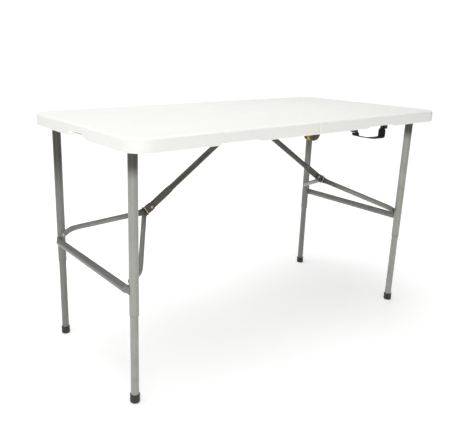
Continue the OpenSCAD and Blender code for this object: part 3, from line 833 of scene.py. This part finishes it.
def make_strap():
    """Webbing strap hung from two pins, folded over at its ends and stitched."""
    box_lo, box_hi = (Vector(v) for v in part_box("carry_handle"))
    pin = JOINTS["handle_swing"]["pos_m"]
    y0, pin_z = pin[1], pin[2]
    width = box_hi.y - box_lo.y - 1 * MM
    left, right = 200 * MM, 334 * MM
    low = box_lo.z + 1.8 * MM
    line = [(left, pin_z - 1 * MM), (left, 679 * MM),
            (left + 0.6 * MM, 671.5 * MM), (left + 2 * MM, 668.4 * MM),
            (left + 6 * MM, 666.6 * MM), (left + 35 * MM, 660.4 * MM), (left + 73 * MM, 653.8 * MM),
            (left + 103 * MM, low + 0.1 * MM), (right - 10 * MM, low), (right - 3.4 * MM, low + 0.5 * MM),
            (right - 0.8 * MM, low + 3 * MM), (right, low + 8 * MM),
            (right, low + 20 * MM), (right, pin_z - 1 * MM)]
    path = curve_points([Vector((x, 0, z)) for x, z in line], 7)
    runs = tangents(path)
    thick = 3.0 * MM
    rings = []
    for p, t in zip(path, runs):
        normal = Vector((-t.z, 0, t.x))
        narrow = smooth_step(p.z, pin_z - 12 * MM, pin_z - 4 * MM)
        w = mix(width, 14.6 * MM, narrow)
        sag = 0.5 * MM * math.sin(p.x * 90)
        rings.append([p + normal * (a + sag * (b / w) ** 2) + Vector((0, y0 + b, 0))
                      for a, b in section(thick, w, 6)])
    strap = mesh_piece("webbing_strap", *loft(rings))
    finish_piece(strap, "strap", "handle", ["carry_handle"])
    stitches = []
    bend_z = 668 * MM  # the strap is upright above this
    for start in (left + 30 * MM, right - 34 * MM):
        for row in (-8.5 * MM, 8.5 * MM):
            for k in range(7):
                x = start + k * 3.6 * MM
                i = min(range(len(path)),
                        key=lambda m: abs(path[m].x - x) + (0.02 if path[m].z > bend_z else 0))
                t = runs[i]
                normal = Vector((-t.z, 0, t.x))
                at = path[i] + (x - path[i].x) * t / max(t.x, 0.2) - normal * (thick / 2 - 0.1 * MM)
                rings = []
                for m in range(5):
                    a = math.pi * m / 4
                    s = max(math.sin(a), 0.15) * 0.45 * MM
                    c = at + Vector((0, y0 + row, 0)) - t * math.cos(a) * 1.3 * MM
                    rings.append([c + normal * s * math.cos(b) + Vector((0, s * math.sin(b), 0))
                                  for b in (2 * math.pi * j / 8 for j in range(8))])
                stitches.append(loft(rings))
    obj = mesh_piece("strap_stitches", *join(*stitches))
    finish_piece(obj, "thread", "handle")


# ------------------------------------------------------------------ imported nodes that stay

def repaint_nodes():
    """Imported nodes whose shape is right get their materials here."""
    for side in SIDES:
        for end in ENDS:
            for name in ("upper_leg", "lower_leg"):
                # front and rear legs take their lighter or darker coats, with painted shade at the top
                paint(frame["nodes"][f"{side}_{end}_{name}"], f"{end}_leg_light_shade")
        # pivot tube in the lighter highlight grey: painted light that keeps it from showing dark in the end
        # notch
        paint(frame["nodes"][f"{side}_pivot_tube"], "lip")
        paint(frame["nodes"][f"{side}_brace_bracket"], "bracket")
        paint(frame["nodes"][f"{side}_brace_pin"], "screw")
        for end in ENDS:
            paint(frame["nodes"][f"{end}_hinge_{side}_leaf"], "hinge")
    for end in ENDS:
        paint(frame["nodes"][f"{end}_hinge_pin"], "hinge")
        paint(frame["nodes"][f"{end}_hinge_sleeve"], "sleeve")
    paint(frame["nodes"]["handle_anchors"], "strap_anchor")
    paint(frame["nodes"]["handle_screws"], "screw")


# ------------------------------------------------------------------ setting

WORLD_LEFT = 0.46  # strength of the surroundings at the left
WORLD_RIGHT = 0.07
FLOOR_GLOW = 0.35  # the floor's own light under the table
FAR_GLOW = 0.75  # the same far from it


def make_floor():
    n = 24
    half = 6.0
    verts = [(mix(-half, half, i / n), mix(-half, half, k / n), 0)
             for k in range(n + 1) for i in range(n + 1)]
    faces = [(k * (n + 1) + i, k * (n + 1) + i + 1, (k + 1) * (n + 1) + i + 1, (k + 1) * (n + 1) + i)
             for k in range(n) for i in range(n)]
    floor = mesh_piece("floor", verts, faces)
    mat = speckled("glowing_floor", (0.93, 0.93, 0.93), 0.8, spread=0.01, scale=2, grain=200,
                   Specular_IOR_Level=0.1, Emission_Color=(1, 1, 1, 1))
    nodes, links = mat.node_tree.nodes, mat.node_tree.links
    radius = nodes.new("ShaderNodeVectorMath")
    radius.operation = "LENGTH"
    links.new(object_coordinates(nodes), radius.inputs[0])
    # The floor glows, weaker near the table: painted light that brightens the floor and washes out the
    # table's shadow.
    glow = nodes.new("ShaderNodeMapRange")
    limits = {"From Min": 0.6, "From Max": 3.5, "To Min": FLOOR_GLOW, "To Max": FAR_GLOW}
    for key, value in limits.items():
        glow.inputs[key].default_value = value
    links.new(radius.outputs["Value"], glow.inputs["Value"])
    links.new(glow.outputs["Result"], nodes["Principled BSDF"].inputs["Emission Strength"])
    floor.data.materials.append(mat)


def area_light(name, place, target, size_m, watts):
    data = bpy.data.lights.new(name, "AREA")
    data.shape = "RECTANGLE"
    data.size, data.size_y = size_m
    data.energy = watts
    obj = bpy.data.objects.new(name, data)
    bpy.context.scene.collection.objects.link(obj)
    obj.location = place
    obj.rotation_mode = "QUATERNION"
    obj.rotation_quaternion = (Vector(target) - Vector(place)).to_track_quat("-Z", "Y")


def make_lights():
    """White surroundings that light the table more from the front left, and three soft boxes."""
    bpy.context.scene.view_settings.view_transform = "Standard"
    world = bpy.data.worlds.new("studio")
    bpy.context.scene.world = world
    world.use_nodes = True
    nodes, links = world.node_tree.nodes, world.node_tree.links
    lit = nodes["Background"]
    split = nodes.new("ShaderNodeSeparateXYZ")
    links.new(nodes.new("ShaderNodeTexCoord").outputs["Generated"], split.inputs[0])
    facing = nodes.new("ShaderNodeMapRange")
    facing.inputs["From Min"].default_value = -1
    facing.inputs["From Max"].default_value = 1
    facing.inputs["To Min"].default_value = WORLD_LEFT
    facing.inputs["To Max"].default_value = WORLD_RIGHT
    links.new(split.outputs["X"], facing.inputs["Value"])
    links.new(facing.outputs["Result"], lit.inputs["Strength"])
    seen = nodes.new("ShaderNodeBackground")
    seen.inputs["Strength"].default_value = 1.05
    for background in (lit, seen):
        background.inputs["Color"].default_value = (1.0, 1.0, 1.0, 1)
    either = nodes.new("ShaderNodeMixShader")
    links.new(nodes.new("ShaderNodeLightPath").outputs["Is Camera Ray"], either.inputs["Fac"])
    links.new(lit.outputs[0], either.inputs[1])
    links.new(seen.outputs[0], either.inputs[2])
    links.new(either.outputs[0], nodes["World Output"].inputs["Surface"])
    area_light("key", (-2.0, -2.6, 2.2), (-0.2, -0.2, 0.5), (2.4, 2.0), 21)
    area_light("near", (-1.7, -1.5, 0.7), (-0.5, -0.2, 0.5), (0.8, 1.0), 3)
    area_light("overhead", (-0.3, 0.2, 3.0), (0, 0, 0.6), (3.0, 3.0), 72)


def make_camera():
    """The photograph's viewpoint: front left, a little above the top."""
    azimuth, elevation, roll = math.radians(-35.76), math.radians(-15.71), math.radians(0.87)
    level = math.cos(elevation)
    forward = Vector((-math.sin(azimuth) * level, math.cos(azimuth) * level, math.sin(elevation)))
    right = Vector((math.cos(azimuth), math.sin(azimuth), 0))
    up = right.cross(forward)
    right_r = math.cos(roll) * right + math.sin(roll) * up
    up_r = -math.sin(roll) * right + math.cos(roll) * up
    data = bpy.data.cameras.new("camera")
    data.sensor_width = 36
    data.lens = 43.86
    data.shift_x = 0.0938
    data.shift_y = -0.0271
    data.clip_end = 50
    camera = bpy.data.objects.new("camera", data)
    bpy.context.scene.collection.objects.link(camera)
    columns = Matrix((right_r, up_r, -forward)).transposed()
    camera.matrix_world = Matrix.Translation((-1.2123, -1.3329, 0.9232)) @ columns.to_4x4()
    bpy.context.scene.camera = camera


make_camera()
make_lights()
make_floor()
make_tops()
make_frames()
make_rivets()
make_tube_ends()
make_lock_rings()
make_foot_caps()
make_saddles()
make_screws()
make_strap()
repaint_nodes()
